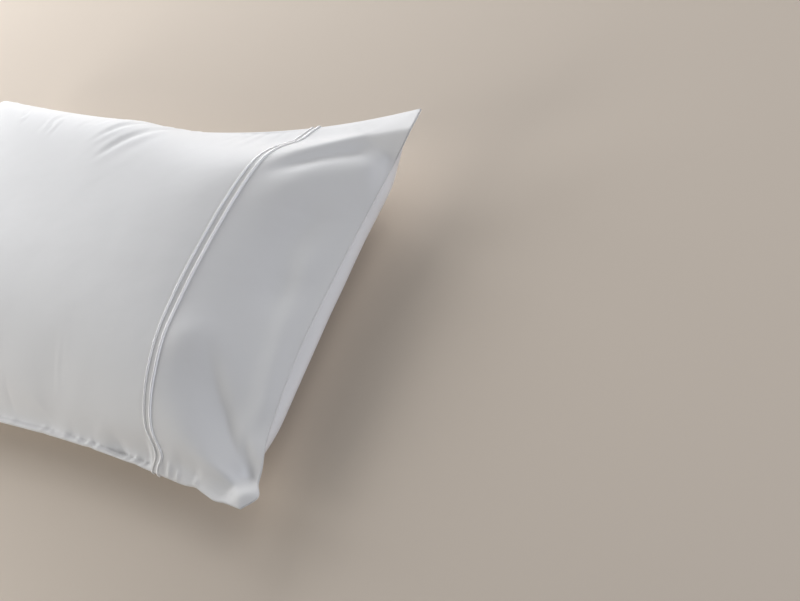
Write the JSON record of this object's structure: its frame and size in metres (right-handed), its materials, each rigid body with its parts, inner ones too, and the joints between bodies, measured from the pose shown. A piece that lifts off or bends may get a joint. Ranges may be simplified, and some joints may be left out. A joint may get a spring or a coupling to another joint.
{
  "type": "filled pillowcase",
  "caption": "Plump white cotton sateen pillowcase lying on its back, with a deep cuff at the mouth and raised cords round the cuff seam.",
  "frame": {"origin": "middle of the case's outline, on the surface it lies on", "axes": "+X towards the mouth and its cuff, +Y towards one side seam, +Z out of the face"},
  "size_m": [0.7299, 0.4688, 0.1329],
  "materials": {
    "body_cotton": "soft satin sheen",
    "cuff_cotton": "soft satin sheen",
    "inner_cord_cotton": "satin sheen",
    "outer_cord_cotton": "satin sheen"
  },
  "bodies": {
    "root": {"case_body": "body_cotton", "cuff": "cuff_cotton", "cord_inner": "inner_cord_cotton", "cord_outer": "outer_cord_cotton"}
  },
  "joints": []
}
